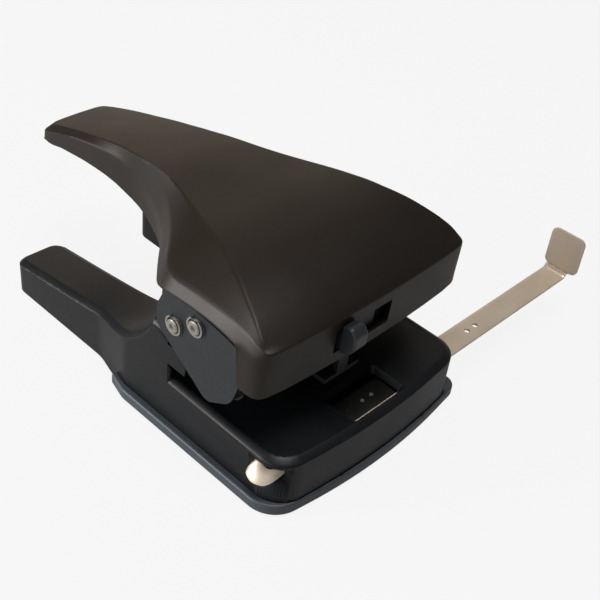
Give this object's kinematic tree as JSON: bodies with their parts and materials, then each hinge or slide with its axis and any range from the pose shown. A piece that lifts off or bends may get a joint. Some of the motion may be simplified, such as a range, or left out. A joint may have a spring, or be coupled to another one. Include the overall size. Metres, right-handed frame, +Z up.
{
  "type": "two-hole desk punch",
  "caption": "Manual desk hole punch: a long hand lever on a forked cast base drives a spring-returned punch bar, with a lever lock, a sliding paper guide and a chip tray.",
  "frame": {"origin": "on the table, in the centre plane, under the back wall of the paper slot", "axes": "+X to the user's right, towards the paper guide; -Y towards the user, where paper goes in; +Z up from the table"},
  "size_m": [0.239, 0.2386, 0.1093],
  "materials": {
    "base_paint": "satin",
    "tray_plastic": "satin",
    "lever_paint": "satin",
    "rubber": "matt",
    "cheek_steel": "satin, finely grained",
    "zinc_steel": "zinc plated",
    "tool_steel": "ground",
    "spring_steel": "drawn wire",
    "knob_plastic": "satin",
    "strip_steel": "nickel plated"
  },
  "bodies": {
    "base": {"base_casting": "base_paint", "chip_tray": "tray_plastic", "die_plate": "tool_steel", "foot_centre": "rubber", "foot_front_left": "rubber", "foot_front_right": "rubber", "foot_middle_left": "rubber", "foot_middle_right": "rubber", "foot_rear_left": "rubber", "foot_rear_right": "rubber", "die_screw_inner_left": "zinc_steel", "die_screw_inner_right": "zinc_steel", "die_screw_outer_left": "zinc_steel", "die_screw_outer_right": "zinc_steel", "guide_bush_left": "tool_steel", "guide_bush_right": "tool_steel", "return_spring_left": "spring_steel", "return_spring_right": "spring_steel", "rest_pad_left": "rubber", "rest_pad_right": "rubber", "lock_catch": "zinc_steel", "catch_screw_left": "zinc_steel", "catch_screw_right": "zinc_steel", "guide_leaf_left": "zinc_steel", "guide_leaf_right": "zinc_steel", "guide_screw_left": "zinc_steel", "guide_screw_right": "zinc_steel"},
    "punch_traverse": {"punch_bar": "zinc_steel", "punch_left": "tool_steel", "punch_right": "tool_steel"},
    "lever": {"lever_channel": "zinc_steel", "lever_cover": "lever_paint", "shaft_front": "zinc_steel", "shaft_rear": "zinc_steel", "lock_rail": "zinc_steel", "cheek_left": "cheek_steel", "cheek_right": "cheek_steel", "pivot_stud_left": "zinc_steel", "pivot_stud_right": "zinc_steel", "pivot_washer_left": "zinc_steel", "pivot_washer_right": "zinc_steel", "clip_front_left": "zinc_steel", "clip_front_right": "zinc_steel", "clip_rear_left": "zinc_steel", "clip_rear_right": "zinc_steel", "roller_clip_left": "zinc_steel", "roller_clip_right": "zinc_steel", "sleeve_front_left": "zinc_steel", "sleeve_front_right": "zinc_steel", "sleeve_rear_left": "zinc_steel", "sleeve_rear_right": "zinc_steel", "cover_screw_front": "zinc_steel", "cover_screw_rear": "zinc_steel"},
    "roller_left": {"roller_left": "zinc_steel"},
    "roller_right": {"roller_right": "zinc_steel"},
    "lock_slider": {"lock_knob": "knob_plastic", "lock_plate": "zinc_steel"},
    "guide_strip": {"paper_guide": "strip_steel"}
  },
  "joints": [
    {"name": "lever_hinge", "type": "hinge", "parent": "base", "child": "lever", "pos_m": [0, -0.0395, 0.057], "axis": [-1, 0, 0], "range_deg": [0, 20.5], "stiffness_Nm_per_rad": 4.7, "springref_deg": -14.32},
    {"name": "punch_slide", "type": "slide", "parent": "base", "child": "punch_traverse", "axis": [0, 0, -1], "range_m": [0, 0.01218], "deforming": ["return_spring_left", "return_spring_right"]},
    {"name": "roller_left_spin", "type": "hinge", "parent": "lever", "child": "roller_left", "pos_m": [-0.04, -0.0074, 0.0716], "axis": [1, 0, 0], "continuous": true},
    {"name": "roller_right_spin", "type": "hinge", "parent": "lever", "child": "roller_right", "pos_m": [0.04, -0.0074, 0.0716], "axis": [1, 0, 0], "continuous": true},
    {"name": "lock_slide", "type": "slide", "parent": "lever", "child": "lock_slider", "axis": [1, 0, 0], "range_m": [0, 0.02]},
    {"name": "guide_slide", "type": "slide", "parent": "base", "child": "guide_strip", "axis": [1, 0, 0], "range_m": [-0.092, 0]}
  ],
  "couplings": [
    {"joint": "punch_slide", "follows": "lever_hinge", "m_per_rad": 0.034}
  ]
}
